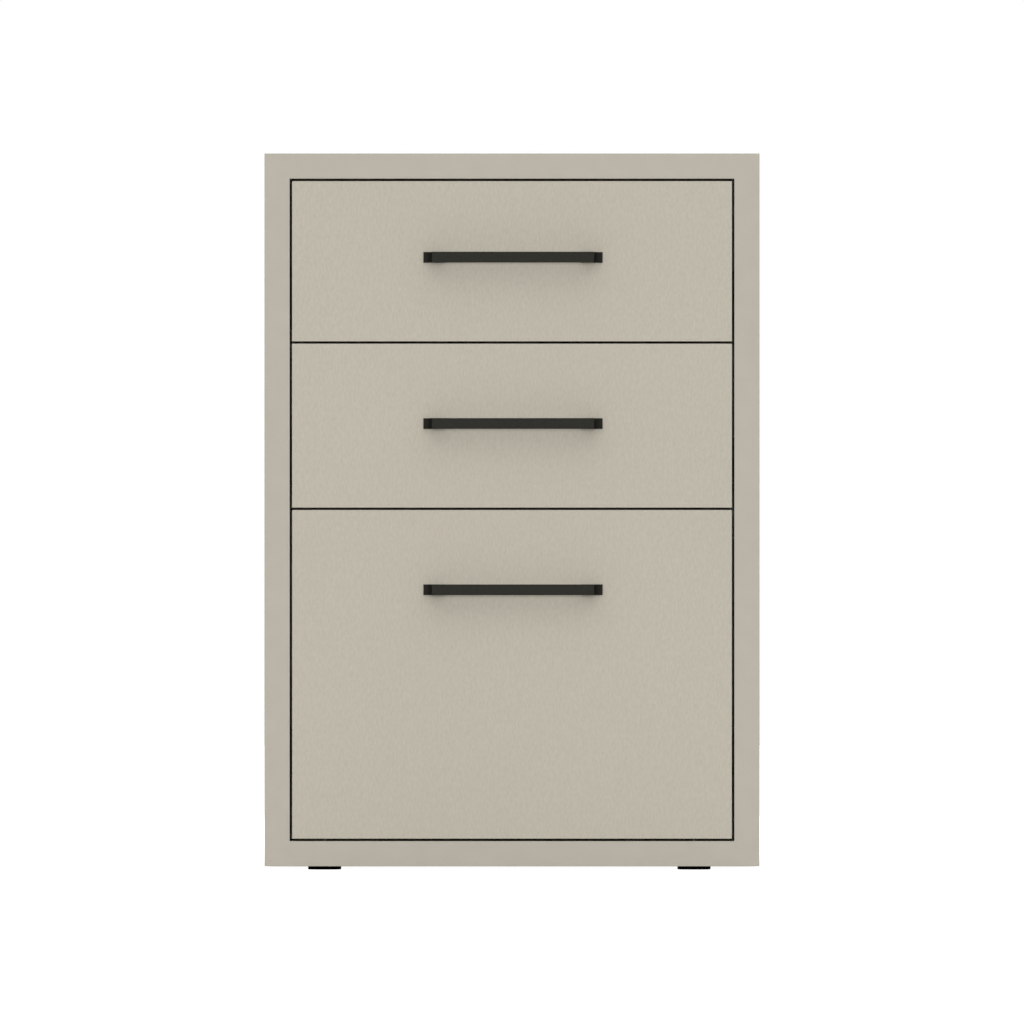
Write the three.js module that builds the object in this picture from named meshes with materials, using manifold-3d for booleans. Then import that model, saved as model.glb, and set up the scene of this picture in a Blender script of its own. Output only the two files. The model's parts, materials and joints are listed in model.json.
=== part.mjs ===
// Steel filing cabinet: two box drawers above a hanging-file drawer, on levelling feet.
// Millimetres, +Z up, front towards -Y. The origin is on the floor, below the middle of the
// box that holds the case and its handles.

import * as THREE from 'three';
import { mergeVertices } from 'three/addons/utils/BufferGeometryUtils.js';
import Module from 'manifold-3d';

const wasm = await Module();
wasm.setup();

// ---------------------------------------------------------------- driving dimensions

const caseWidth = 500;
const caseDepth = 560;
const caseHeight = 720;
const caseSheet = 1.0;
const caseLift = 3.6; // the feet hold the case this far off the floor
const surroundWidth = 25.5; // face of the frame around the drawers
const surroundLip = 20; // how far that frame folds back into the case
const caseFlange = 20; // folded edges around the back and the bottom

const seatGap = 0.1; // between flat faces that rest on each other
const roundGap = 0.3; // around a screw, a stud or a nut

const revealAround = 2.4; // gap between the drawer fronts and the surround
const revealBetween = 2.25; // gap between two fronts
const fileFrontHeight = 332.1;
const middleFrontHeight = 165.7;
const frontThickness = 20;
const frontSheet = 1.0;

const tubSheet = 0.9;
const tubLength = 499.9;
const tubDrop = 12; // the tub's floor is this far above its front's lower edge
const boxTubHeight = 116;
const fileTubHeight = 255;
const tubHem = 10.4; // width of the folded top edge
const tubHemLip = 6;
const tubHemClearance = 1; // from the hem down to the flanges and the back
const tubFlange = 12;
const tubLowerFlange = 10; // hangs below the floor, against the front

const slideThickness = 12.7;
const slideLength = 500;
const slideSheet = 1.2;
const slideSetback = 1.5; // from the back of the front to the front end of the slide
const boxSlideRise = 36; // slide's middle above the tub's floor
const fileSlideRise = 75;
const slideScrewRadius = 2.6;

const uprightWeb = 50;
const uprightFlange = 15;
const uprightSheet = 1.2;
const frontUprightSetback = 70; // from the case's front to the middle of the upright
const rearUprightSetback = 455;

const handleMiddle = 1; // the handles stand this far right of the case's middle
const handleLength = 181; // over the feet of its two legs
const handleBarLength = 163.5;
const handleHeight = 10.8;
const handleReach = 30; // how far it stands out from the front
const handleBar = 8; // thickness of the bar, front to back
const handleLeg = 10; // width of a leg behind the bar
const handleFootInset = 3; // how far a foot flares inwards
const handleFootEdge = 2.5; // thickness of a foot at its rim
const handleFlareDepth = 16; // from the front to where a leg's outer flare begins
const handleFlarePull = 7; // depth of the point that bends the outer flare
const handleRound = 6; // between a leg and the back of the bar
const handleScrewPitch = 160;
const lowestHandleHeight = 283;
const handlePitch = 167.8; // the three handles are evenly spaced

const screwRadius = 2;
const screwHeadRadius = 4;
const screwHeadHeight = 2.6;
const screwCrown = 0.8;
const screwCrossReach = 2.2; // half the length of the cross recess in the head
const screwCrossHalf = 0.4; // half the width of its arms
const screwCrossDepth = 1.2;
const screwDepth = 9; // how far it goes into the handle
const screwHoleEnd = 1; // empty hole beyond its tip
const accessHoleRadius = 8;

const railSheet = 1.5;
const railHeight = 13;
const railHalfSpacing = 195.5; // foolscap hanging files, from the middle to a rail's inner face
const railEndGap = 4;

const padRadius = 16.75;
const padHeight = 10;
const padHubRadius = 8;
const padHubHeight = 2;
const padEdge = 0.3; // its chamfers
const padSocketFloor = 3; // the stud stands in a socket with this much plastic below it
const studRadius = 4;
const studTip = 0.8;
const studTop = 34;
const nutRadius = 7.5;
const nutHeight = 6.5;
const leftFootX = -189.5;
const rightFootX = 184.1;
const footSetback = 38; // from the front or the back of the case
const basePanFloor = 14; // underside of the base pan's floor

const roundSides = 48;
const holeSides = 20;
const curveSteps = 8;
const cutLength = 6; // of a rod that cuts a hole through a sheet

// ---------------------------------------------------------------- derived planes

const front = (handleReach - caseDepth) / 2; // y of the case's face and of the drawer fronts
const rear = front + caseDepth;
const side = caseWidth / 2;
const bottom = caseLift;
const top = caseLift + caseHeight;

const openingHalf = side - surroundWidth;
const openingBottom = bottom + surroundWidth;
const openingTop = top - surroundWidth;

const frontHalf = openingHalf - revealAround;
const frontBack = front + frontThickness;
const tubHalf = openingHalf - slideThickness - seatGap;
const tubStart = frontBack + seatGap;
const tubEnd = tubStart + tubLength;
const slideStart = frontBack + slideSetback;

const fileFrontBottom = openingBottom + revealAround;
const middleFrontBottom = fileFrontBottom + fileFrontHeight + revealBetween;
const topFrontBottom = middleFrontBottom + middleFrontHeight + revealBetween;

const drawers = [
  {
    name: 'file',
    low: fileFrontBottom,
    high: fileFrontBottom + fileFrontHeight,
    tubHeight: fileTubHeight,
    slideRise: fileSlideRise,
    handleAt: lowestHandleHeight,
  },
  {
    name: 'middle',
    low: middleFrontBottom,
    high: middleFrontBottom + middleFrontHeight,
    tubHeight: boxTubHeight,
    slideRise: boxSlideRise,
    handleAt: lowestHandleHeight + handlePitch,
  },
  {
    name: 'top',
    low: topFrontBottom,
    high: openingTop - revealAround,
    tubHeight: boxTubHeight,
    slideRise: boxSlideRise,
    handleAt: lowestHandleHeight + 2 * handlePitch,
  },
];
for (const drawer of drawers) {
  drawer.tubLow = drawer.low + tubDrop;
  drawer.tubHigh = drawer.tubLow + drawer.tubHeight;
  drawer.slideAt = drawer.tubLow + drawer.slideRise;
}

const uprightMiddles = {
  front: front + frontUprightSetback,
  rear: front + rearUprightSetback,
};

// ---------------------------------------------------------------- materials

const finishes = {
  casePaint: { color: '#bab4a5', roughness: 0.55, metalness: 0.0 },
  frontPaint: { color: '#bcb6a8', roughness: 0.6, metalness: 0.0 },
  handlePaint: { color: '#33322e', roughness: 0.5, metalness: 0.0 },
  zincSteel: { color: '#b4b6b8', roughness: 0.35, metalness: 1.0 },
  blackPlastic: { color: '#141313', roughness: 0.6, metalness: 0.0 },
};

// ---------------------------------------------------------------- shape helpers

function box([x0, x1], [y0, y1], [z0, z1]) {
  const geometry = new THREE.BoxGeometry(x1 - x0, y1 - y0, z1 - z0);
  return geometry.translate((x0 + x1) / 2, (y0 + y1) / 2, (z0 + z1) / 2);
}

// A closed outline drawn out along one axis. Its points are (x, y) for an extrusion along z
// and (x, z) for one along y.
function prism(outline, axis, low, high) {
  const shape = new THREE.Shape(outline.map(([u, v]) => new THREE.Vector2(u, v)));
  const geometry = new THREE.ExtrudeGeometry(shape, { depth: high - low, bevelEnabled: false });
  if (axis === 'y') {
    return geometry.rotateX(Math.PI / 2).translate(0, high, 0);
  }
  return geometry.translate(0, 0, low);
}

// A cylinder along an axis, centred on a point, used for holes.
function rod(radius, axis, [x, y, z], length = cutLength) {
  const geometry = new THREE.CylinderGeometry(radius, radius, length, holeSides);
  if (axis === 'x') {
    geometry.rotateZ(Math.PI / 2);
  }
  if (axis === 'z') {
    geometry.rotateX(Math.PI / 2);
  }
  return geometry.translate(x, y, z);
}

// A turned piece. The profile's points are (radius, height), and it stands along +Z.
function turned(profile, sides = roundSides) {
  const points = profile.map(([radius, height]) => new THREE.Vector2(radius, height));
  return new THREE.LatheGeometry(points, sides).rotateX(Math.PI / 2);
}

// The outline of a sheet folded along a path. The path is one face of the sheet, and the
// thickness lies on the left of the way that it runs.
function foldedSheet(path, thickness) {
  const points = path.map(([u, v]) => new THREE.Vector2(u, v));
  const ways = points.slice(1).map((point, i) => point.clone().sub(points[i]).normalize());
  const leftOf = (way) => new THREE.Vector2(-way.y, way.x);
  const otherFace = points.map((point, i) => {
    const before = leftOf(ways[Math.max(i - 1, 0)]);
    const after = leftOf(ways[Math.min(i, ways.length - 1)]);
    const miter = before.clone().add(after).multiplyScalar(thickness / (1 + before.dot(after)));
    return point.clone().add(miter).toArray();
  });
  return [...path, ...otherFace.reverse()];
}

// The same outline on the other side of the middle plane.
function mirrored(outline) {
  return outline.map(([u, v]) => [-u, v]).reverse();
}

function solidOf(geometry) {
  const bare = geometry.clone();
  bare.deleteAttribute('normal');
  bare.deleteAttribute('uv');
  const merged = mergeVertices(bare);
  return new wasm.Manifold(new wasm.Mesh({
    numProp: 3,
    vertProperties: merged.getAttribute('position').array,
    triVerts: Uint32Array.from(merged.getIndex().array),
  }));
}

function geometryOf(solid) {
  const { vertProperties, triVerts } = solid.getMesh();
  const geometry = new THREE.BufferGeometry();
  geometry.setAttribute('position', new THREE.BufferAttribute(vertProperties, 3));
  geometry.setIndex(new THREE.BufferAttribute(triVerts, 1));
  return geometry;
}

function joined(...geometries) {
  return geometryOf(geometries.map(solidOf).reduce((whole, piece) => whole.add(piece)));
}

function cutFrom(geometry, ...tools) {
  return geometryOf(tools.map(solidOf).reduce((left, tool) => left.subtract(tool), solidOf(geometry)));
}

// ---------------------------------------------------------------- scene

const cabinet = new THREE.Group();

function add(name, geometry, finish) {
  const mesh = new THREE.Mesh(geometry, new THREE.MeshStandardMaterial(finish));
  mesh.name = name;
  cabinet.add(mesh);
  return mesh;
}

// ---------------------------------------------------------------- case

// The welded shell: sides, top and surround, with the surround folded back as a lip and the
// edges at the back and the bottom folded in.
function caseShell() {
  const outer = box([-side, side], [front, rear], [bottom, top]);
  const inner = box(
    [caseSheet - side, side - caseSheet],
    [front + caseSheet, rear - caseSheet],
    [bottom + caseSheet, top - caseSheet],
  );
  const frontOpening = box(
    [-openingHalf, openingHalf],
    [front - caseSheet, front + surroundLip + caseSheet],
    [openingBottom, openingTop],
  );
  const rearOpening = box(
    [caseFlange - side, side - caseFlange],
    [rear - 2 * caseSheet, rear + caseSheet],
    [bottom + caseFlange, top - caseFlange],
  );
  const bottomOpening = box(
    [caseFlange - side, side - caseFlange],
    [front + caseFlange, rear - caseFlange],
    [bottom - caseSheet, bottom + 2 * caseSheet],
  );
  const lip = box(
    [-openingHalf - caseSheet, openingHalf + caseSheet],
    [front, front + surroundLip],
    [openingBottom - caseSheet, openingTop + caseSheet],
  );
  const shell = cutFrom(outer, inner, bottomOpening, rearOpening);
  return cutFrom(joined(shell, lip), frontOpening);
}

// An inverted tray that stands on the shell's bottom flanges and carries the feet.
function basePan(footPlaces) {
  const reach = side - caseSheet - seatGap;
  const start = front + caseSheet + seatGap;
  const end = rear - 2 * caseSheet - 2 * seatGap;
  const low = bottom + caseSheet + seatGap;
  const tray = box([-reach, reach], [start, end], [low, basePanFloor + caseSheet]);
  const hollow = box(
    [caseSheet - reach, reach - caseSheet],
    [start + caseSheet, end - caseSheet],
    [low - caseSheet, basePanFloor],
  );
  const holes = footPlaces.map(({ x, y }) => (
    rod(studRadius + roundGap, 'z', [x, y, basePanFloor])
  ));
  return cutFrom(tray, hollow, ...holes);
}

// A flat sheet behind the flanges of the shell's back.
function backPanel() {
  const reach = side - caseSheet - seatGap;
  const outerFace = rear - caseSheet - seatGap;
  return box(
    [-reach, reach],
    [outerFace - caseSheet, outerFace],
    [bottom + caseSheet + seatGap, top - caseSheet - seatGap],
  );
}

// A hat-section post that packs the slides out from the side to the edge of the opening.
function upright(sign, middle) {
  const wall = side - caseSheet - seatGap - uprightSheet;
  const face = openingHalf + seatGap;
  const half = uprightWeb / 2;
  const path = [
    [wall, middle + half + uprightFlange],
    [wall, middle + half],
    [face, middle + half],
    [face, middle - half],
    [wall, middle - half],
    [wall, middle - half - uprightFlange],
  ];
  const section = foldedSheet(path, uprightSheet);
  const low = basePanFloor + caseSheet + seatGap;
  const high = top - caseSheet - seatGap;
  const post = prism(sign > 0 ? section : mirrored(section), 'z', low, high);
  const holes = drawers.map(({ slideAt }) => (
    rod(slideScrewRadius, 'x', [sign * face, middle, slideAt])
  ));
  return cutFrom(post, ...holes);
}

// ---------------------------------------------------------------- feet

const feet = [
  { name: 'front_left', x: leftFootX, y: front + footSetback },
  { name: 'front_right', x: rightFootX, y: front + footSetback },
  { name: 'rear_left', x: leftFootX, y: rear - footSetback },
  { name: 'rear_right', x: rightFootX, y: rear - footSetback },
];

function footPad() {
  const shoulder = padHeight - padHubHeight;
  const socket = studRadius + roundGap;
  return turned([
    [0, 0],
    [padRadius - padEdge, 0],
    [padRadius, padEdge],
    [padRadius, shoulder - padEdge],
    [padRadius - padEdge, shoulder],
    [padHubRadius, shoulder],
    [padHubRadius - padEdge, padHeight],
    [socket, padHeight],
    [socket, padSocketFloor],
    [0, padSocketFloor],
  ]);
}

function footStud() {
  const start = padSocketFloor + roundGap;
  const profile = [
    [0, start],
    [studRadius, start],
    [studRadius, studTop - studTip],
    [studRadius - studTip, studTop],
    [0, studTop],
  ];
  return turned(profile, holeSides);
}

function footNut() {
  const low = basePanFloor + caseSheet + seatGap;
  const hexagon = Array.from({ length: 6 }, (_, i) => {
    const angle = (i * Math.PI) / 3;
    return [nutRadius * Math.cos(angle), nutRadius * Math.sin(angle)];
  });
  const bore = rod(studRadius + roundGap, 'z', [0, 0, low + nutHeight / 2], 2 * nutHeight);
  return cutFrom(prism(hexagon, 'z', low, low + nutHeight), bore);
}

// ---------------------------------------------------------------- slides

// A ball-bearing slide has three channels, one inside another. Each is a sheet folded round the
// balls: `web` is how far its back stands from the post, `edge` how far its flanges reach
// towards the drawer, and `half` is half its height.
const slideMembers = {
  cabinet: { web: 0, edge: 9.6, half: 22.5, start: 0, length: slideLength },
  middle: { web: 2.2, edge: 11.0, half: 17.0, start: 1.5, length: slideLength - 2 },
  drawer: { web: slideThickness, edge: 5.2, half: 11.6, start: 0.5, length: slideLength - 1.5 },
};

function slideMember(sign, kind, height) {
  const { web, edge, half, start, length } = slideMembers[kind];
  const back = openingHalf - web;
  const rim = openingHalf - edge;
  const path = [
    [rim, height + half],
    [back, height + half],
    [back, height - half],
    [rim, height - half],
  ];
  const opensInward = back > rim;
  const section = foldedSheet(opensInward ? path.reverse() : path, slideSheet);
  const y0 = slideStart + start;
  const channel = prism(sign > 0 ? section : mirrored(section), 'y', y0, y0 + length);
  if (kind !== 'cabinet') {
    return channel;
  }
  const holes = Object.values(uprightMiddles).map((y) => (
    rod(slideScrewRadius, 'x', [sign * openingHalf, y, height])
  ));
  return cutFrom(channel, ...holes);
}

// ---------------------------------------------------------------- drawers

const screwXs = {
  left: handleMiddle - handleScrewPitch / 2,
  right: handleMiddle + handleScrewPitch / 2,
};

// The outside of a front: a shallow pan with its edges folded back.
function frontSkin({ low, high, handleAt }) {
  const pan = box([-frontHalf, frontHalf], [front, frontBack], [low, high]);
  const hollow = box(
    [frontSheet - frontHalf, frontHalf - frontSheet],
    [front + frontSheet, frontBack + frontSheet],
    [low + frontSheet, high - frontSheet],
  );
  const holes = Object.values(screwXs).map((x) => (
    rod(screwRadius + roundGap, 'y', [x, front, handleAt])
  ));
  return cutFrom(pan, hollow, ...holes);
}

// The sheet that closes the pan from inside, with two holes to reach the handle's screws.
function frontLiner({ low, high, handleAt }) {
  const inset = frontSheet + seatGap;
  const sheet = box(
    [inset - frontHalf, frontHalf - inset],
    [frontBack - frontSheet, frontBack],
    [low + inset, high - inset],
  );
  const holes = Object.values(screwXs).map((x) => (
    rod(accessHoleRadius, 'y', [x, frontBack, handleAt])
  ));
  return cutFrom(sheet, ...holes);
}

// Floor and sides in one folded sheet, hemmed along the top, with flanges for the front.
function tub({ tubLow, tubHigh }) {
  const hemX = tubHalf - tubHem;
  const path = [
    [-hemX, tubHigh - tubHemLip],
    [-hemX, tubHigh],
    [-tubHalf, tubHigh],
    [-tubHalf, tubLow],
    [tubHalf, tubLow],
    [tubHalf, tubHigh],
    [hemX, tubHigh],
    [hemX, tubHigh - tubHemLip],
  ];
  const channel = prism(foldedSheet(path, tubSheet), 'y', tubStart, tubEnd);
  const flangeTop = tubHigh - tubHemLip - tubHemClearance;
  const flangeDepth = [tubStart, tubStart + tubSheet];
  const flangeInner = tubHalf - tubFlange;
  const half = tubSheet / 2;
  const leftFlange = box([-tubHalf + half, -flangeInner], flangeDepth, [tubLow + half, flangeTop]);
  const rightFlange = box([flangeInner, tubHalf - half], flangeDepth, [tubLow + half, flangeTop]);
  const lowerFlange = box(
    [-flangeInner, flangeInner],
    flangeDepth,
    [tubLow - tubLowerFlange, tubLow + half],
  );
  return joined(channel, leftFlange, rightFlange, lowerFlange);
}

// The back of a tub, folded forward along its sides and its top edge.
function tubBack({ tubLow, tubHigh }) {
  const reach = tubHalf - tubSheet - seatGap;
  const path = [
    [-reach, tubEnd - tubFlange],
    [-reach, tubEnd],
    [reach, tubEnd],
    [reach, tubEnd - tubFlange],
  ];
  const low = tubLow + tubSheet + seatGap;
  const high = tubHigh - tubHemLip - tubHemClearance;
  const sheet = prism(foldedSheet(path.reverse(), tubSheet), 'z', low, high);
  const hem = box([-reach, reach], [tubEnd - tubHem, tubEnd - tubSheet / 2], [high - tubSheet, high]);
  return joined(sheet, hem);
}

// Half of a handle in plan, as (x, y) from its middle: the bar's end, the leg's outer flare, its
// foot, its inner flare, and the round into the back of the bar.
function halfHandlePlan() {
  const at = (across, out) => new THREE.Vector2(across, front - out);
  const bend = (...points) => new THREE.QuadraticBezierCurve(...points).getPoints(curveSteps);
  const barEnd = handleBarLength / 2;
  const footOuter = handleLength / 2;
  const legInner = barEnd - handleLeg;
  const footInner = legInner - handleFootInset;
  const barBack = handleReach - handleBar;
  const points = [
    at(barEnd, handleReach),
    ...bend(
      at(barEnd, handleFlareDepth),
      at(barEnd, handleFlarePull),
      at(footOuter, handleFootEdge),
    ),
    at(footOuter, seatGap),
    at(footInner, seatGap),
    ...bend(
      at(footInner, handleFootEdge),
      at(legInner, handleFootEdge),
      at(legInner, handleFlarePull),
    ),
    ...bend(
      at(legInner, barBack - handleRound),
      at(legInner, barBack),
      at(legInner - handleRound, barBack),
    ),
  ];
  return points.map((point) => point.toArray());
}

// A bar on two legs whose feet flare out to a thin rim, as deep as it is high.
function handle({ handleAt }) {
  const half = halfHandlePlan();
  const plan = [...half, ...mirrored(half)].reverse();
  const bar = prism(plan, 'z', handleAt - handleHeight / 2, handleAt + handleHeight / 2);
  const holeDepth = screwDepth + screwHoleEnd;
  const holes = Object.values(screwXs).map((x) => (
    rod(screwRadius + roundGap, 'y', [x, front, handleAt], 2 * holeDepth)
  ));
  return cutFrom(bar.translate(handleMiddle, 0, 0), ...holes);
}

// A pan-head screw through the skin into the handle, with a cross recess in its head.
function handleScrew(x, { handleAt }) {
  const seat = front + frontSheet + seatGap;
  const tip = -screwDepth - frontSheet - seatGap;
  const body = turned([
    [0, tip],
    [screwRadius, tip],
    [screwRadius, 0],
    [screwHeadRadius, 0],
    [screwHeadRadius, screwHeadHeight - screwCrown],
    [screwHeadRadius - screwCrown, screwHeadHeight],
    [0, screwHeadHeight],
  ], holeSides);
  const reach = [-screwCrossReach, screwCrossReach];
  const width = [-screwCrossHalf, screwCrossHalf];
  const depth = [screwHeadHeight - screwCrossDepth, screwHeadHeight + screwCrossDepth];
  const recessed = cutFrom(body, box(reach, width, depth), box(width, reach, depth));
  return recessed.rotateX(-Math.PI / 2).translate(x, seat, handleAt);
}

// An angle along the top of the file tub. Hanging files hook over its standing edge.
function fileRail(sign, { tubHigh }) {
  const seat = tubHigh + seatGap;
  const path = [
    [tubHalf, seat],
    [railHalfSpacing, seat],
    [railHalfSpacing, seat + railHeight],
  ];
  const section = foldedSheet(path.reverse(), railSheet);
  return prism(
    sign > 0 ? section : mirrored(section),
    'y',
    tubStart + railEndGap,
    tubEnd - railEndGap,
  );
}

// ---------------------------------------------------------------- assembly

const sides = { left: -1, right: 1 };

add('case_shell', caseShell(), finishes.casePaint);
add('base_pan', basePan(feet), finishes.casePaint);
add('back_panel', backPanel(), finishes.casePaint);

for (const [place, middle] of Object.entries(uprightMiddles)) {
  for (const [hand, sign] of Object.entries(sides)) {
    add(`${place}_${hand}_upright`, upright(sign, middle), finishes.zincSteel);
  }
}

for (const foot of feet) {
  add(`${foot.name}_foot_pad`, footPad(), finishes.blackPlastic).position.set(foot.x, foot.y, 0);
  add(`${foot.name}_foot_stud`, footStud(), finishes.zincSteel).position.set(foot.x, foot.y, 0);
  add(`${foot.name}_foot_nut`, footNut(), finishes.zincSteel).position.set(foot.x, foot.y, 0);
}

for (const drawer of drawers) {
  add(`${drawer.name}_drawer_front_skin`, frontSkin(drawer), finishes.frontPaint);
  add(`${drawer.name}_drawer_front_liner`, frontLiner(drawer), finishes.casePaint);
  add(`${drawer.name}_drawer_tub`, tub(drawer), finishes.casePaint);
  add(`${drawer.name}_drawer_back`, tubBack(drawer), finishes.casePaint);
  add(`${drawer.name}_drawer_handle`, handle(drawer), finishes.handlePaint);
  for (const [hand, sign] of Object.entries(sides)) {
    const screw = handleScrew(screwXs[hand], drawer);
    add(`${drawer.name}_drawer_handle_screw_${hand}`, screw, finishes.zincSteel);
    for (const kind of Object.keys(slideMembers)) {
      const member = slideMember(sign, kind, drawer.slideAt);
      add(`${drawer.name}_slide_${hand}_${kind}_member`, member, finishes.zincSteel);
    }
    if (drawer.name === 'file') {
      add(`hanging_file_rail_${hand}`, fileRail(sign, drawer), finishes.zincSteel);
    }
  }
}

export default cabinet;
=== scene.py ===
"""Looks of a steel filing cabinet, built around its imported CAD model.

Metres, +Z up, fronts towards -Y, in the CAD model's own frame.
"""
import json
import math

import bmesh
import bpy
from mathutils import Matrix, Vector
from mathutils.geometry import tessellate_polygon


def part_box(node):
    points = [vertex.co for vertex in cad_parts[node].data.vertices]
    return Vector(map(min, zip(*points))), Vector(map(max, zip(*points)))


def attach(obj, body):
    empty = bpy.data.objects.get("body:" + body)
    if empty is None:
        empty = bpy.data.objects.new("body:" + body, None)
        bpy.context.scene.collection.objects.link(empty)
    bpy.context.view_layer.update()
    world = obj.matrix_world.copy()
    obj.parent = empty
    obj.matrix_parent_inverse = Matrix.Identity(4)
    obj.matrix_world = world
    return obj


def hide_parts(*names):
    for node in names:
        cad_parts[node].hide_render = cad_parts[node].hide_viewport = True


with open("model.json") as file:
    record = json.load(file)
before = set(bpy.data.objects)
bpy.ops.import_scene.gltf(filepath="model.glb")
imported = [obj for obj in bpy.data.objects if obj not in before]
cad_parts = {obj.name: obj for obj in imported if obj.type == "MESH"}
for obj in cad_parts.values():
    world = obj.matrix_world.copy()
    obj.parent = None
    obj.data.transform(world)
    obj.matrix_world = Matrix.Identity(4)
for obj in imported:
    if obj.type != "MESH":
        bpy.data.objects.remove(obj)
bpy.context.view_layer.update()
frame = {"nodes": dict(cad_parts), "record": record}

DRAWERS = ("top", "middle", "file")
HANDS = {"left": -1, "right": 1}
FEET = ("front_left", "front_right", "rear_left", "rear_right")
MM = 0.001


def feed(tree, socket, value):
    """Links another node's output to a socket, or sets the socket to a plain value."""
    if isinstance(value, bpy.types.NodeSocket):
        tree.links.new(value, socket)
    else:
        socket.default_value = value


def operate(tree, kind, operation, *values):
    """Adds a math node and feeds its inputs in their order."""
    node = tree.nodes.new(kind)
    node.operation = operation
    for socket, value in zip(node.inputs, values):
        feed(tree, socket, value)
    return node


# ------------------------------------------------------------------ camera and light

def make_camera():
    """A long lens straight at the front, so that the view is nearly without perspective."""
    lens = 800.0
    view_width = 1.0342
    view_middle = Vector((0.0, 0.0, 0.3615))
    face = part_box("case_shell")[0].y
    data = bpy.data.cameras.new("camera")
    data.lens = lens
    distance = view_width / 2 / (data.sensor_width / 2 / lens)
    data.clip_start = 0.1
    data.clip_end = 200.0
    camera = bpy.data.objects.new("camera", data)
    camera.location = Vector((view_middle.x, face - distance, view_middle.z))
    camera.rotation_euler = (math.pi / 2, 0, 0)
    bpy.context.scene.collection.objects.link(camera)
    bpy.context.scene.camera = camera


def make_area_light(name, location, target, size, power):
    """A square light that faces its target. Its power is in watts."""
    data = bpy.data.lights.new(name, "AREA")
    data.shape = "SQUARE"
    data.size = size
    data.energy = power
    light = bpy.data.objects.new(name, data)
    light.location = Vector(location)
    aim = Vector(target) - Vector(location)
    light.rotation_euler = aim.to_track_quat("-Z", "Y").to_euler()
    bpy.context.scene.collection.objects.link(light)


def make_lights():
    """A soft light from far in front, and weak ones behind the fronts for the sides, back and top."""
    middle = (0, 0, 0.36)
    wide, narrow = 2.4, 1.6
    make_area_light("key", (0.0, -12.0, 0.8), middle, narrow, power=500.0)
    for side in HANDS.values():
        make_area_light("fill_side", (side * 3.0, 1.3, 1.5), middle, wide, power=40.0)
    make_area_light("fill_back", (0.0, 3.4, 1.6), middle, wide, power=40.0)
    make_area_light("fill_top", (0.0, 0.7, 3.2), middle, narrow, power=22.0)


def make_world():
    """White surroundings, brightest in front and a little above. The camera sees them plain white."""
    even, extra, narrowness = 0.40, 0.90, 4.0
    tilt = math.radians(35)
    world = bpy.data.worlds.new("studio")
    world.use_nodes = True
    tree = world.node_tree
    tree.nodes.clear()
    way = tree.nodes.new("ShaderNodeTexCoord").outputs["Generated"]
    brightest = (0.0, -math.cos(tilt), math.sin(tilt))
    steps = (("MAXIMUM", 0.0), ("POWER", narrowness), ("MULTIPLY", extra), ("ADD", even))
    strength = operate(tree, "ShaderNodeVectorMath", "DOT_PRODUCT", way, brightest).outputs["Value"]
    for operation, amount in steps:
        strength = operate(tree, "ShaderNodeMath", operation, strength, amount).outputs["Value"]
    lit = tree.nodes.new("ShaderNodeBackground")
    tree.links.new(strength, lit.inputs["Strength"])
    seen = tree.nodes.new("ShaderNodeBackground")
    for node in (lit, seen):
        node.inputs["Color"].default_value = (1, 1, 1, 1)
    path = tree.nodes.new("ShaderNodeLightPath")
    mix = tree.nodes.new("ShaderNodeMixShader")
    out = tree.nodes.new("ShaderNodeOutputWorld")
    tree.links.new(path.outputs["Is Camera Ray"], mix.inputs["Fac"])
    tree.links.new(lit.outputs[0], mix.inputs[1])
    tree.links.new(seen.outputs[0], mix.inputs[2])
    tree.links.new(mix.outputs[0], out.inputs["Surface"])
    bpy.context.scene.world = world


def make_floor():
    """A plain floor that looks white, and gives back no more light than a pale grey one."""
    half = 12.0
    albedo = 0.5
    roughness = 0.9
    seen_glow = 0.98
    mesh = bpy.data.meshes.new("floor")
    corners = [(-half, -half, 0), (half, -half, 0), (half, half, 0), (-half, half, 0)]
    mesh.from_pydata(corners, [], [(0, 1, 2, 3)])
    floor = bpy.data.objects.new("floor", mesh)
    bpy.context.scene.collection.objects.link(floor)
    paint = bpy.data.materials.new("floor_white")
    paint.use_nodes = True
    tree = paint.node_tree
    shader = tree.nodes["Principled BSDF"]
    shader.inputs["Base Color"].default_value = (albedo, albedo, albedo, 1)
    shader.inputs["Roughness"].default_value = roughness
    shader.inputs["Specular IOR Level"].default_value = 0.0
    shader.inputs["Emission Color"].default_value = (1, 1, 1, 1)
    path = tree.nodes.new("ShaderNodeLightPath")
    glow = tree.nodes.new("ShaderNodeMath")
    glow.operation = "MULTIPLY"
    glow.inputs[1].default_value = seen_glow
    tree.links.new(path.outputs["Is Camera Ray"], glow.inputs[0])
    tree.links.new(glow.outputs["Value"], shader.inputs["Emission Strength"])
    mesh.materials.append(paint)


# ------------------------------------------------------------------ materials

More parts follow.
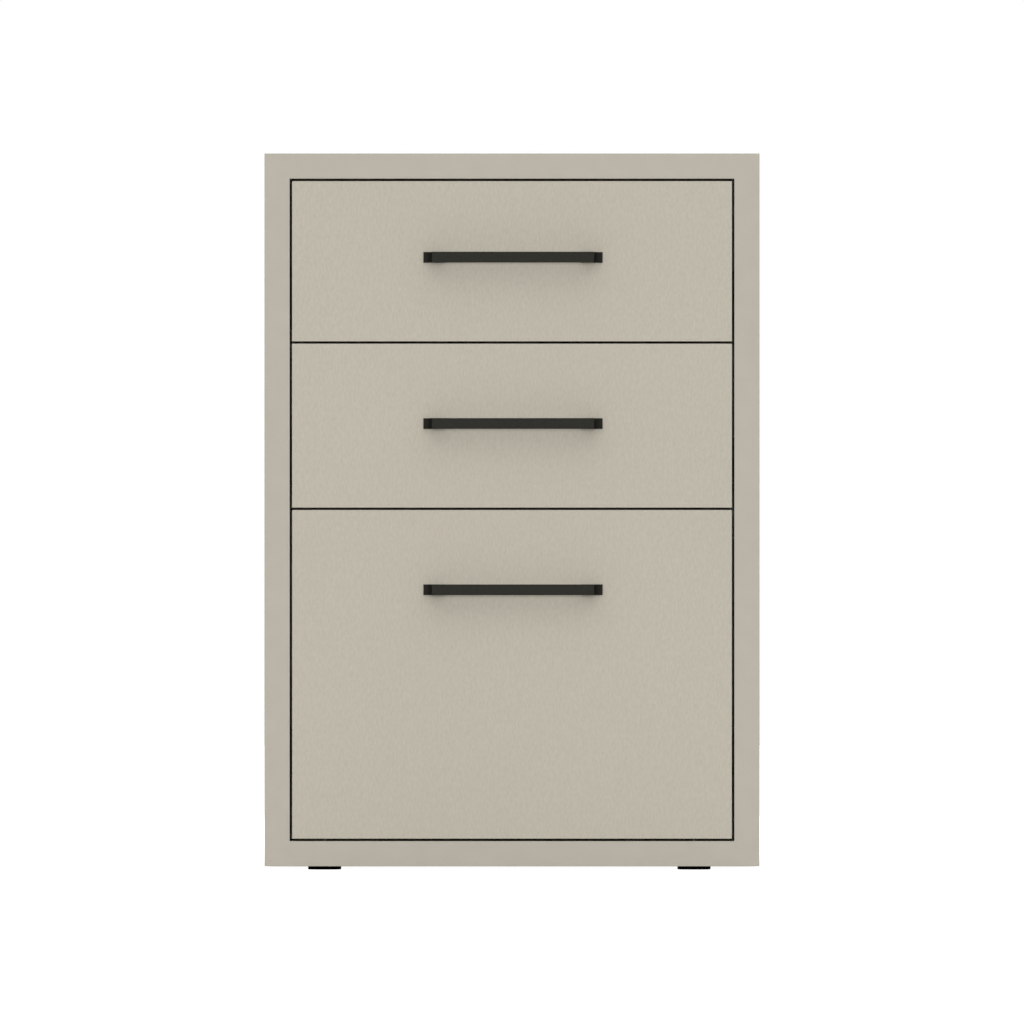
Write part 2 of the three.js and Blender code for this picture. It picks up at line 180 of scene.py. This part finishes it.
class Recipe:
    """A material with one Principled shader, and short calls for the nodes that feed it."""

    def __init__(self, name, **constants):
        self.material = bpy.data.materials.new(name)
        self.material.use_nodes = True
        self.tree = self.material.node_tree
        self.shader = self.tree.nodes["Principled BSDF"]
        for socket, value in constants.items():
            self.shader.inputs[socket.replace("_", " ")].default_value = value
        self.place = self.tree.nodes.new("ShaderNodeTexCoord").outputs["Object"]

    def feed(self, node, socket, value):
        feed(self.tree, node.inputs[socket], value)

    def stretched(self, scale):
        """The point's place, scaled along X, Y and Z."""
        node = self.tree.nodes.new("ShaderNodeMapping")
        self.feed(node, "Vector", self.place)
        node.inputs["Scale"].default_value = scale
        return node.outputs["Vector"]

    def depth(self):
        """How far back a point is, along Y."""
        node = self.tree.nodes.new("ShaderNodeSeparateXYZ")
        self.feed(node, "Vector", self.place)
        return node.outputs["Y"]

    def noise(self, scale, detail=2.0, roughness=0.5, vector=None):
        node = self.tree.nodes.new("ShaderNodeTexNoise")
        self.feed(node, "Vector", vector or self.place)
        node.inputs["Scale"].default_value = scale
        node.inputs["Detail"].default_value = detail
        node.inputs["Roughness"].default_value = roughness
        return node.outputs["Fac"]

    def cells(self, scale, vector=None):
        node = self.tree.nodes.new("ShaderNodeTexVoronoi")
        self.feed(node, "Vector", vector or self.place)
        node.inputs["Scale"].default_value = scale
        return node.outputs["Distance"]

    def spread(self, value, low, high, to_low=0.0, to_high=1.0):
        """Turns low..high into to_low..to_high, and holds it at the ends."""
        node = self.tree.nodes.new("ShaderNodeMapRange")
        self.feed(node, "Value", value)
        node.inputs["From Min"].default_value = low
        node.inputs["From Max"].default_value = high
        node.inputs["To Min"].default_value = to_low
        node.inputs["To Max"].default_value = to_high
        return node.outputs["Result"]

    def math(self, operation, a, b):
        return operate(self.tree, "ShaderNodeMath", operation, a, b).outputs["Value"]

    def weighed(self, first, second):
        """The sum of two (weight, value) pairs."""
        parts = [self.math("MULTIPLY", value, weight) for weight, value in (first, second)]
        return self.math("ADD", *parts)

    def blend(self, factor, a, b):
        node = self.tree.nodes.new("ShaderNodeMix")
        node.data_type = "RGBA"
        self.feed(node, 0, factor)
        self.feed(node, 6, a if isinstance(a, bpy.types.NodeSocket) else (*a, 1))
        self.feed(node, 7, b if isinstance(b, bpy.types.NodeSocket) else (*b, 1))
        return node.outputs[2]

    def dimmed(self, colour, factor):
        node = self.tree.nodes.new("ShaderNodeVectorMath")
        node.operation = "SCALE"
        self.feed(node, 0, colour)
        self.feed(node, "Scale", factor)
        return node.outputs["Vector"]

    def colour(self, value):
        self.feed(self.shader, "Base Color", value)

    def rough(self, value):
        self.feed(self.shader, "Roughness", value)

    def bump(self, height, relief):
        """Height is 0 to 1, and relief is how high 1 stands, in metres."""
        node = self.tree.nodes.new("ShaderNodeBump")
        node.inputs["Distance"].default_value = relief
        node.inputs["Strength"].default_value = 1.0
        self.feed(node, "Height", height)
        self.feed(self.shader, "Normal", node.outputs["Normal"])


# Most of a noise's values lie in this range.
USUAL = (0.3, 0.7)


def tinted(colour, factor):
    """A colour made lighter or darker."""
    return tuple(channel * factor for channel in colour)


def smooth_paint(name, colour):
    """Satin powder coat: a faint orange peel, hardly any change of tone."""
    made = Recipe(name, IOR=1.5)
    drift = made.noise(5.0, detail=3.0)
    grain = made.noise(1400.0)
    tone = made.weighed((0.6, drift), (0.4, grain))
    made.colour(made.blend(made.spread(tone, *USUAL), tinted(colour, 0.985), tinted(colour, 1.015)))
    made.rough(made.spread(made.noise(60.0, detail=3.0), *USUAL, 0.54, 0.62))
    made.bump(made.noise(420.0), relief=0.04 * MM)
    return made.material


def textured_paint(name, colour):
    """Fine-textured powder coat with a short upright grain and a rare dark fleck."""
    made = Recipe(name, IOR=1.5)
    upright, fine = (520.0, 520.0, 190.0), (900.0, 900.0, 600.0)
    streaks = made.noise(1.0, detail=1.0, vector=made.stretched(upright))
    stipple = made.noise(1.0, roughness=0.6, vector=made.stretched(fine))
    relief = made.weighed((0.65, streaks), (0.35, stipple))
    paint = made.blend(made.spread(relief, *USUAL), tinted(colour, 0.92), tinted(colour, 1.08))
    drift = made.spread(made.noise(4.0, detail=3.0), 0.35, 0.65)
    paint = made.blend(drift, made.dimmed(paint, 0.992), made.dimmed(paint, 1.008))
    fleck = made.spread(made.cells(95.0), 0.03, 0.05, 1.0, 0.0)
    rare = made.spread(made.noise(31.0, detail=1.0), 0.66, 0.67)
    made.colour(made.blend(made.math("MULTIPLY", fleck, rare), paint, tinted(colour, 0.72)))
    made.rough(made.spread(relief, *USUAL, 0.52, 0.64))
    made.bump(relief, relief=0.06 * MM)
    return made.material


def black_paint_with_painted_leg_shade(name, colour, front):
    """Matte black powder coat on a die casting, with painted shade in its colour: full on the bar,
    darkened up the legs, darkest half way up them. Front is the case's face."""
    foot_end, leg_start = 2.5 * MM, 9 * MM
    leg_end, bar_start = 21 * MM, 23 * MM
    # Painted shade: how far the colour is darkened at the foot's rim and half way up the legs.
    foot_shade_factor, leg_shade_factor = 0.90, 0.37
    made = Recipe(name, IOR=1.2, Specular_IOR_Level=0.2)
    grain = made.noise(1500.0, detail=3.0, roughness=0.6)
    paint = made.blend(made.spread(grain, *USUAL), tinted(colour, 0.8), tinted(colour, 1.25))
    out = made.math("SUBTRACT", front, made.depth())
    # Painted shade on the legs, deepening from the foot's rim to half way up, and gone again on the
    # bar.
    leg = made.spread(out, foot_end, leg_start, foot_shade_factor, leg_shade_factor)
    bar = made.spread(out, leg_end, bar_start)
    made.colour(made.dimmed(paint, made.math("MAXIMUM", leg, bar)))
    made.rough(made.spread(made.noise(200.0, detail=3.0), *USUAL, 0.55, 0.65))
    made.bump(grain, relief=0.03 * MM)
    return made.material


def zinc_steel(name):
    """Bright zinc plate over rolled steel: fine lines along the roll and a cloudy sheen."""
    made = Recipe(name, Metallic=1.0)
    along = made.stretched((2500.0, 40.0, 2500.0))
    lines = made.noise(1.0, detail=4.0, roughness=0.6, vector=along)
    clouds = made.noise(45.0, detail=4.0, roughness=0.6)
    tone = made.weighed((0.5, lines), (0.5, clouds))
    made.colour(made.blend(made.spread(tone, 0.35, 0.65), (0.50, 0.51, 0.53), (0.68, 0.69, 0.70)))
    made.rough(made.spread(tone, *USUAL, 0.24, 0.40))
    made.bump(lines, relief=0.01 * MM)
    return made.material


def galvanised_steel(name):
    """Dull grey galvanised sheet with large pale and dark crystals."""
    made = Recipe(name, Metallic=1.0)
    crystals = made.cells(90.0)
    clouds = made.noise(30.0, detail=4.0, roughness=0.6)
    tone = made.weighed((0.6, crystals), (0.4, clouds))
    made.colour(made.blend(made.spread(tone, 0.2, 0.7), (0.26, 0.265, 0.27), (0.42, 0.425, 0.43)))
    made.rough(made.spread(tone, 0.2, 0.7, 0.42, 0.62))
    made.bump(made.noise(700.0, detail=3.0), relief=0.02 * MM)
    return made.material


def black_plastic(name, colour):
    """Moulded plastic with a fine spark-eroded grain."""
    made = Recipe(name, IOR=1.2, Specular_IOR_Level=0.08)
    grain = made.noise(1100.0, detail=3.0, roughness=0.6)
    made.colour(made.blend(grain, tinted(colour, 0.7), tinted(colour, 1.3)))
    made.rough(made.spread(grain, *USUAL, 0.55, 0.7))
    made.bump(grain, relief=0.04 * MM)
    return made.material


def bright_steel(name):
    """Hardened bearing balls and plated fasteners."""
    made = Recipe(name, Metallic=1.0)
    made.colour(made.blend(made.noise(900.0), (0.60, 0.61, 0.62), (0.74, 0.74, 0.74)))
    made.rough(made.spread(made.noise(700.0, detail=3.0), *USUAL, 0.14, 0.26))
    made.bump(made.noise(1800.0), relief=0.004 * MM)
    return made.material


CASE_COLOUR = (0.451, 0.418, 0.348)
FRONT_COLOUR = (0.476, 0.439, 0.360)
HANDLE_COLOUR = (0.027, 0.0265, 0.0225)
FOOT_COLOUR = (0.003, 0.0025, 0.002)

PAINTS = {
    "case_paint": smooth_paint("case_paint", CASE_COLOUR),
    "front_paint": textured_paint("front_paint", FRONT_COLOUR),
    # The handles' colour carries painted shade on their legs.
    "handle_paint": black_paint_with_painted_leg_shade("handle_paint", HANDLE_COLOUR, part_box("case_shell")[0].y),
    "zinc_steel": zinc_steel("zinc_steel"),
    "foot_plastic": black_plastic("foot_plastic", FOOT_COLOUR),
}
BRIGHT = bright_steel("bright_steel")
GALVANISED = galvanised_steel("galvanised_steel")


# ------------------------------------------------------------------ CAD pieces

BEND = math.radians(35)
SHORTEST_EDGE = 2.2 * MM
NEAR = 0.001 * MM


def edge_marker():
    """A modifier's nodes that mark a sheet's edges for rounding, apart from the rims of its holes:
    rounding those would fold over the long thin faces around them."""
    group = bpy.data.node_groups.new("edge_marker", "GeometryNodeTree")
    for way in ("INPUT", "OUTPUT"):
        group.interface.new_socket("Geometry", in_out=way, socket_type="NodeSocketGeometry")
    angle = group.nodes.new("GeometryNodeInputMeshEdgeAngle").outputs["Unsigned Angle"]
    ends = group.nodes.new("GeometryNodeInputMeshEdgeVertices").outputs
    span = operate(group, "ShaderNodeVectorMath", "DISTANCE", ends["Position 1"], ends["Position 2"])
    length = span.outputs["Value"]
    bent = operate(group, "ShaderNodeMath", "GREATER_THAN", angle, BEND).outputs["Value"]
    long = operate(group, "ShaderNodeMath", "GREATER_THAN", length, SHORTEST_EDGE).outputs["Value"]
    weight = operate(group, "ShaderNodeMath", "MULTIPLY", bent, long).outputs["Value"]
    mark = group.nodes.new("GeometryNodeStoreNamedAttribute")
    mark.data_type, mark.domain = "FLOAT", "EDGE"
    mark.inputs["Name"].default_value = "bevel_weight_edge"
    group.links.new(group.nodes.new("NodeGroupInput").outputs[0], mark.inputs["Geometry"])
    group.links.new(weight, mark.inputs["Value"])
    group.links.new(mark.outputs["Geometry"], group.nodes.new("NodeGroupOutput").inputs[0])
    return group


EDGE_MARKER = edge_marker()


def soften(node, width, marked=False, joined=False):
    """Rounds a piece's edges as a press or a mould leaves them: all that bend, or the marked ones.
    A sheet without holes can have the flat faces of each side joined first."""
    weld = node.modifiers.new("weld", "WELD")
    weld.merge_threshold = NEAR
    if joined:
        flats = node.modifiers.new("flats", "DECIMATE")
        flats.decimate_type = "DISSOLVE"
        flats.angle_limit = math.radians(1)
    if marked:
        node.modifiers.new("marks", "NODES").node_group = EDGE_MARKER
    edges = node.modifiers.new("edges", "BEVEL")
    edges.width = width
    edges.segments = 2
    edges.limit_method = "WEIGHT" if marked else "ANGLE"
    edges.angle_limit = BEND
    edges.harden_normals = True
    edges.miter_outer = "MITER_ARC"
    shade = node.modifiers.new("shade", "WEIGHTED_NORMAL")
    shade.keep_sharp = True


def finish_cad_pieces():
    """Gives each CAD node its paint and soft edges. The posts are of duller sheet than the slides."""
    outside_edge, inside_edge = 0.5 * MM, 0.3 * MM
    slots = {row["node"]: row["material_slot"] for row in frame["record"]["subparts"]}
    for name, node in frame["nodes"].items():
        node.data.materials.clear()
        node.data.materials.append(GALVANISED if "upright" in name else PAINTS[slots[name]])
        outside = "handle" in name or "shell" in name or "skin" in name
        whole = "tub" in name
        pierced = not whole and "handle" not in name and "foot" not in name
        soften(node, outside_edge if outside else inside_edge, marked=pierced, joined=whole)


# ------------------------------------------------------------------ shapes, in millimetres

class Shape:
    """Points and faces of a closed piece, in millimetres."""

    def __init__(self, points, faces):
        self.points = [Vector(point) for point in points]
        self.faces = [tuple(face) for face in faces]

    def __add__(self, other):
        shift = len(self.points)
        faces = [tuple(i + shift for i in face) for face in other.faces]
        return Shape(self.points + other.points, self.faces + faces)

    def placed(self, matrix):
        return Shape([matrix @ point for point in self.points], self.faces)

    def moved(self, x, y, z):
        return self.placed(Matrix.Translation((x, y, z)))

    def aimed(self, way):
        """Its Z axis turned to the direction named way."""
        turn = Vector((0, 0, 1)).rotation_difference(Vector(way))
        return self.placed(turn.to_matrix().to_4x4())

    def reordered(self, *order):
        return Shape([[point[axis] for axis in order] for point in self.points], self.faces)


def repeated(shape, places):
    """One shape made of a copy at each place."""
    whole = Shape([], [])
    for place in places:
        whole = whole + shape.moved(*place)
    return whole


def spun(profile, sides=24):
    """Turns (radius, height) points about Z. An end of no radius closes on the axis."""
    points, faces, rings = [], [], []
    for radius, height in profile:
        if radius == 0:
            rings.append([len(points)] * sides)
            points.append((0, 0, height))
            continue
        rings.append(range(len(points), len(points) + sides))
        for i in range(sides):
            turn = math.tau * i / sides
            points.append((radius * math.cos(turn), radius * math.sin(turn), height))
    for low, high in zip(rings, rings[1:]):
        for i in range(sides):
            j = (i + 1) % sides
            faces.append(tuple(dict.fromkeys((low[i], low[j], high[j], high[i]))))
    return Shape(points, faces)


def prism(outline, low, high):
    """A flat outline in X and Y, drawn out along Z."""
    count = len(outline)
    points = [(u, v, w) for w in (low, high) for u, v in outline]
    walls = [(i, (i + 1) % count, count + (i + 1) % count, count + i) for i in range(count)]
    return Shape(points, [range(count - 1, -1, -1), range(count, 2 * count), *walls])


def strip(path, thickness):
    """Outline of a sheet bent along a path, which is its middle line."""
    path = [Vector(point) for point in path]
    ways = [(b - a).normalized() for a, b in zip(path, path[1:])]
    left = [Vector((-way.y, way.x)) for way in ways]
    sides = []
    for before, after in zip([left[0], *left], [*left, left[-1]]):
        middle = (before + after).normalized()
        sides.append(middle * (thickness / 2 / middle.dot(before)))
    return [p + s for p, s in zip(path, sides)] + [p - s for p, s in reversed(list(zip(path, sides)))]


def disc(radius, middle, sides=24):
    """A round outline."""
    turns = [math.tau * i / sides for i in range(sides)]
    return [(middle[0] + radius * math.cos(t), middle[1] + radius * math.sin(t)) for t in turns]


def ball(radius):
    """A coarse sphere: a bearing ball is only a few millimetres across."""
    steps = 6
    arc = [math.pi * i / steps for i in range(1, steps)]
    waist = [(radius * math.sin(turn), -radius * math.cos(turn)) for turn in arc]
    return spun([(0, -radius), *waist, (0, radius)], sides=12)


def rivet(radius, height):
    """A domed head on a short neck that goes into the sheet."""
    neck = 1.0
    rim = 0.25 * height
    steps = 5
    arc = [math.pi / 2 * i / steps for i in range(1, steps)]
    dome = [(radius * math.cos(turn), rim + (height - rim) * math.sin(turn)) for turn in arc]
    return spun([(0, -neck), (radius / 2, -neck), (radius / 2, 0), (radius, 0),
                 (radius, rim), *dome, (0, height)])


def cross_screw(shank, length, head, height):
    """A screw with a cross recess. Its head sits on Z = 0 and its shank goes down from there."""
    sides = 24
    edge = 0.3
    body = spun([(0, -length), (shank - edge, -length), (shank, edge - length), (shank, 0),
                 (head, 0), (head, height - edge), (head - edge, height)], sides)
    reach, half, depth = 0.62 * head, 0.13 * head, 0.45 * head
    quarter = [(reach, -half), (reach, half), (half, half)]
    cross = []
    for _ in range(4):
        cross += quarter
        quarter = [(-v, u) for u, v in quarter]
    rim = range(len(body.points) - sides, len(body.points))
    top = [Vector((u, v, height)) for u, v in cross]
    floor = [Vector((u, v, height - depth)) for u, v in cross]
    first, count = len(body.points), len(cross)
    indices = [*rim, *range(first, first + count)]
    face = tessellate_polygon([[body.points[i] for i in rim], top])
    walls = [(first + i, first + (i + 1) % count, first + count + (i + 1) % count, first + count + i)
             for i in range(count)]
    body.points += top + floor
    body.faces += [tuple(indices[i] for i in corner) for corner in face]
    body.faces += [*walls, tuple(range(first + count, first + 2 * count))]
    return body


def threaded_rod(radius, pitch, low, high, tip):
    """A rod with a right-hand thread: round the axis, its radius follows the turn and the height."""
    sides, steps_a_turn = 24, 6
    depth = 0.54 * pitch
    roundness = 0.8
    count = round((high - low) / pitch * steps_a_turn)
    points = [(0, 0, low)]
    for k in range(count + 1):
        height = low + (high - low) * k / count
        to_end = min(height - low, high - height)
        for i in range(sides):
            phase = (height / pitch - i / sides) % 1
            groove = depth * (1 - abs(2 * phase - 1)) ** roundness
            reach = min(radius - groove, radius - tip + to_end)
            turn = math.tau * i / sides
            points.append((reach * math.cos(turn), reach * math.sin(turn), height))
    points.append((0, 0, high))
    faces = []
    for i in range(sides):
        j = (i + 1) % sides
        faces.append((0, 1 + j, 1 + i))
        faces.append((len(points) - 1, 1 + count * sides + i, 1 + count * sides + j))
        for k in range(count):
            ring = 1 + k * sides
            faces.append((ring + i, ring + j, ring + sides + j, ring + sides + i))
    return Shape(points, faces)


def make_piece(name, shape, paint, body, sharp=35):
    """Turns a shape into an object that moves with a CAD body. Edges that bend by more than sharp
    degrees stay crisp."""
    mesh = bpy.data.meshes.new(name)
    mesh.from_pydata([point * MM for point in shape.points], [], shape.faces)
    work = bmesh.new()
    work.from_mesh(mesh)
    bmesh.ops.recalc_face_normals(work, faces=work.faces)
    work.to_mesh(mesh)
    work.free()
    mesh.shade_smooth()
    mesh.set_sharp_from_angle(angle=math.radians(sharp))
    mesh.materials.append(paint)
    piece = bpy.data.objects.new(name, mesh)
    bpy.context.scene.collection.objects.link(piece)
    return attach(piece, body)


def box_mm(node):
    """A CAD node's lowest and highest corners, in millimetres."""
    low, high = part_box(node)
    return low / MM, high / MM


# ------------------------------------------------------------------ slides

TUB_SHEET = 0.9
BALL_PITCH = 9
BALLS_IN_A_ROW = 23
CAGE_SHEET = 0.5
# Each race of a slide, measured inwards from its post (u), up from its middle (v) and back from
# its front end. The balls stay where both channels cover them, however far the drawer is out.
RACES = {
    "outer": {"u": 6.5, "v": 19.15, "radius": 2.1, "start": 290, "web": 1.7, "rim": 8.4},
    "inner": {"u": 8.1, "v": 13.7, "radius": 2.0, "start": 20, "web": 4.3, "rim": 10.0},
}


def slide_place(drawer, hand):
    """Takes (inwards from the post, up, back) to a slide's place in the cabinet."""
    low, high = box_mm(f"{drawer}_slide_{hand}_cabinet_member")
    sign = HANDS[hand]
    post = max(abs(low.x), abs(high.x))
    return Matrix((
        (-sign, 0, 0, sign * post),
        (0, 0, 1, low.y),
        (0, 1, 0, (low.z + high.z) / 2),
        (0, 0, 0, 1),
    ))


def make_race(name, place, race, body):
    """Two rows of balls in a folded steel cage."""
    rows = range(BALLS_IN_A_ROW)
    places = [(race["u"], sign * race["v"], race["start"] + i * BALL_PITCH)
              for sign in (-1, 1) for i in rows]
    balls = repeated(ball(race["radius"]), places)
    make_piece(f"{name}_balls", balls.placed(place), BRIGHT, body)
    path = [(race["rim"], race["v"]), (race["web"], race["v"]),
            (race["web"], -race["v"]), (race["rim"], -race["v"])]
    end = race["start"] + BALLS_IN_A_ROW * BALL_PITCH
    cage = prism(strip(path, CAGE_SHEET), race["start"] - BALL_PITCH, end)
    make_piece(f"{name}_cage", cage.placed(place), PAINTS["zinc_steel"], body)


def make_slide_cap(name, place):
    """A black plastic cap that closes the front end of the outer channel and grips inside it."""
    wall = 1.9
    web, rim, middle = 1.05, 9.4, 21.5
    face_front, face_back = -1.3, -0.2
    leg_front, leg_back = -1.0, 14
    leg_web, leg_rim, leg_inside, leg_outside = 2.6, 8.0, 19.9, 21.1
    face = strip([(rim, middle), (web, middle), (web, -middle), (rim, -middle)], wall)
    cap = prism(face, face_front, face_back)
    for sign in (-1, 1):
        low, high = sorted((sign * leg_inside, sign * leg_outside))
        leg = [(leg_web, low), (leg_rim, low), (leg_rim, high), (leg_web, high)]
        cap = cap + prism(leg, leg_front, leg_back)
    piece = make_piece(name, cap.placed(place), PAINTS["foot_plastic"], "cabinet")
    soften(piece, 0.2 * MM)


def make_release_lever(name, place, body):
    """The lever in the drawer's channel that lets the drawer come off its slides."""
    start = 300
    path = [(-3.0, 0), (-3.0, 14), (0.0, 32), (3.6, 58), (3.6, 76)]
    blade_width, blade_from, blade_to = 4.4, 8.6, 11.2
    pivot_radius, pivot_middle, pivot_from, pivot_to = 4.6, (-3.0, 8), 7.6, 11.4
    blade = prism(strip(path, blade_width), blade_from, blade_to)
    pivot = prism(disc(pivot_radius, pivot_middle), pivot_from, pivot_to)
    lever = (blade + pivot).reordered(2, 0, 1).moved(0, 0, start)
    piece = make_piece(name, lever.placed(place), PAINTS["foot_plastic"], body)
    soften(piece, 0.4 * MM)


def make_slides():
    """Races, caps, levers, screws into the posts and rivets into the tub, for all six slides."""
    screw = cross_screw(shank=2.3, length=8, head=2.45, height=1.0)
    dome = rivet(radius=3.0, height=0.9)
    rivets_back = (40, 250, 460)
    for drawer in DRAWERS:
        for hand, sign in HANDS.items():
            name = f"{drawer}_slide_{hand}"
            place = slide_place(drawer, hand)
            for race, sizes in RACES.items():
                make_race(f"{name}_{race}", place, sizes, f"{drawer}_slide_carriage")
            make_slide_cap(f"{name}_front_cap", place)
            make_release_lever(f"{name}_release_lever", place, f"{drawer}_drawer")
            height = place.translation.z
            for spot in ("front", "rear"):
                low, high = box_mm(f"{spot}_{hand}_upright")
                at = (place.translation.x, (low.y + high.y) / 2, height)
                shape = screw.aimed((-sign, 0, 0)).moved(*at)
                make_piece(f"{name}_{spot}_screw", shape, BRIGHT, "cabinet")
            tub_low, tub_high = box_mm(f"{drawer}_drawer_tub")
            wall = sign * (tub_high.x - TUB_SHEET)
            spots = [(wall, tub_low.y + back, height) for back in rivets_back]
            rivets = repeated(dome.aimed((-sign, 0, 0)), spots)
            make_piece(f"{name}_rivets", rivets, BRIGHT, f"{drawer}_drawer")


# ------------------------------------------------------------------ fasteners

def make_drawer_fasteners():
    """Screws from the tub into the front, and rivets that hold the tub's back."""
    screw = cross_screw(shank=1.9, length=3.0, head=3.6, height=1.8).aimed((0, 1, 0))
    dome = rivet(radius=2.4, height=0.8)
    margin, flange_inset, rear_inset = 12, 6.6, 5.5
    for drawer in DRAWERS:
        body = f"{drawer}_drawer"
        low, high = box_mm(f"{body}_tub")
        back_low, back_high = box_mm(f"{body}_back")
        levels = (back_low.z + margin, (back_low.z + back_high.z) / 2, back_high.z - margin)
        for hand, sign in HANDS.items():
            flange = [(sign * (high.x - flange_inset), low.y + TUB_SHEET, level) for level in levels]
            screws = repeated(screw, flange)
            make_piece(f"{body}_front_screws_{hand}", screws, BRIGHT, body)
            edge = [(sign * high.x, high.y - rear_inset, level) for level in (levels[0], levels[-1])]
            rivets = repeated(dome.aimed((sign, 0, 0)), edge)
            make_piece(f"{body}_back_rivets_{hand}", rivets, BRIGHT, body)


def make_rail_screws():
    """Screws through the flat foot of each hanging-file rail into the tub's rim."""
    screw = cross_screw(shank=1.9, length=2.4, head=3.4, height=1.8)
    rail_sheet = 1.5
    parts = (0.08, 0.5, 0.92)
    for hand, sign in HANDS.items():
        low, high = box_mm(f"hanging_file_rail_{hand}")
        inner = min(abs(low.x), abs(high.x))
        outer = max(abs(low.x), abs(high.x))
        across, level = sign * (inner + outer + rail_sheet) / 2, low.z + rail_sheet
        spots = [(across, low.y + (high.y - low.y) * part, level) for part in parts]
        screws = repeated(screw, spots)
        make_piece(f"hanging_file_rail_screws_{hand}", screws, BRIGHT, "file_drawer")


def make_back_rivets():
    """Rivets through the shell's rear flanges into the back panel, evenly spaced on each side."""
    low, high = box_mm("case_shell")
    inset = 10
    dome = rivet(radius=2.6, height=0.7).aimed((0, 1, 0))
    across, up = high.x - low.x - 2 * inset, high.z - low.z - 2 * inset
    columns, rows = 4, 5
    spots = set()
    for i in range(columns + 1):
        spots |= {(low.x + inset + across * i / columns, z) for z in (low.z + inset, high.z - inset)}
    for i in range(1, rows):
        spots |= {(x, low.z + inset + up * i / rows) for x in (low.x + inset, high.x - inset)}
    rivets = repeated(dome, [(x, high.y, z) for x, z in sorted(spots)])
    make_piece("back_panel_rivets", rivets, BRIGHT, "cabinet")


# ------------------------------------------------------------------ feet

def moulded_pad(radius, height):
    """A disc with a recess underneath, and on it a collar with a socket for the stud."""
    recess, socket = 1.2, 3.0
    disc_top = height - 2.0
    return spun([
        (0, recess), (radius - 6, recess), (radius - 5, 0), (radius - 0.5, 0), (radius, 0.5),
        (radius, disc_top - 0.6), (radius - 0.7, disc_top), (9.0, disc_top),
        (8.0, disc_top + 0.3), (7.8, height - 0.3), (7.5, height), (4.5, height), (4.3, height - 0.3),
        (4.3, socket), (0, socket),
    ], sides=96)


def make_feet():
    """Moulded pads on threaded studs."""
    thread_pitch, tip = 1.25, 0.9
    for foot in FEET:
        low, high = box_mm(f"{foot}_foot_pad")
        middle = ((low.x + high.x) / 2, (low.y + high.y) / 2, 0)
        pad = moulded_pad((high.x - low.x) / 2, high.z)
        piece = make_piece(f"{foot}_foot_moulded_pad", pad.moved(*middle), PAINTS["foot_plastic"],
                           f"{foot}_foot")
        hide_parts(f"{foot}_foot_pad")
        stud_low, stud_high = box_mm(f"{foot}_foot_stud")
        radius = (stud_high.x - stud_low.x) / 2
        stud = threaded_rod(radius, thread_pitch, stud_low.z, stud_high.z, tip)
        piece = make_piece(f"{foot}_foot_threaded_stud", stud.moved(*middle), PAINTS["zinc_steel"],
                           f"{foot}_foot", sharp=50)
        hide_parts(f"{foot}_foot_stud")


make_camera()
make_world()
make_lights()
make_floor()
bpy.context.scene.view_settings.view_transform = "Standard"
finish_cad_pieces()
make_slides()
make_drawer_fasteners()
make_rail_screws()
make_back_rivets()
make_feet()
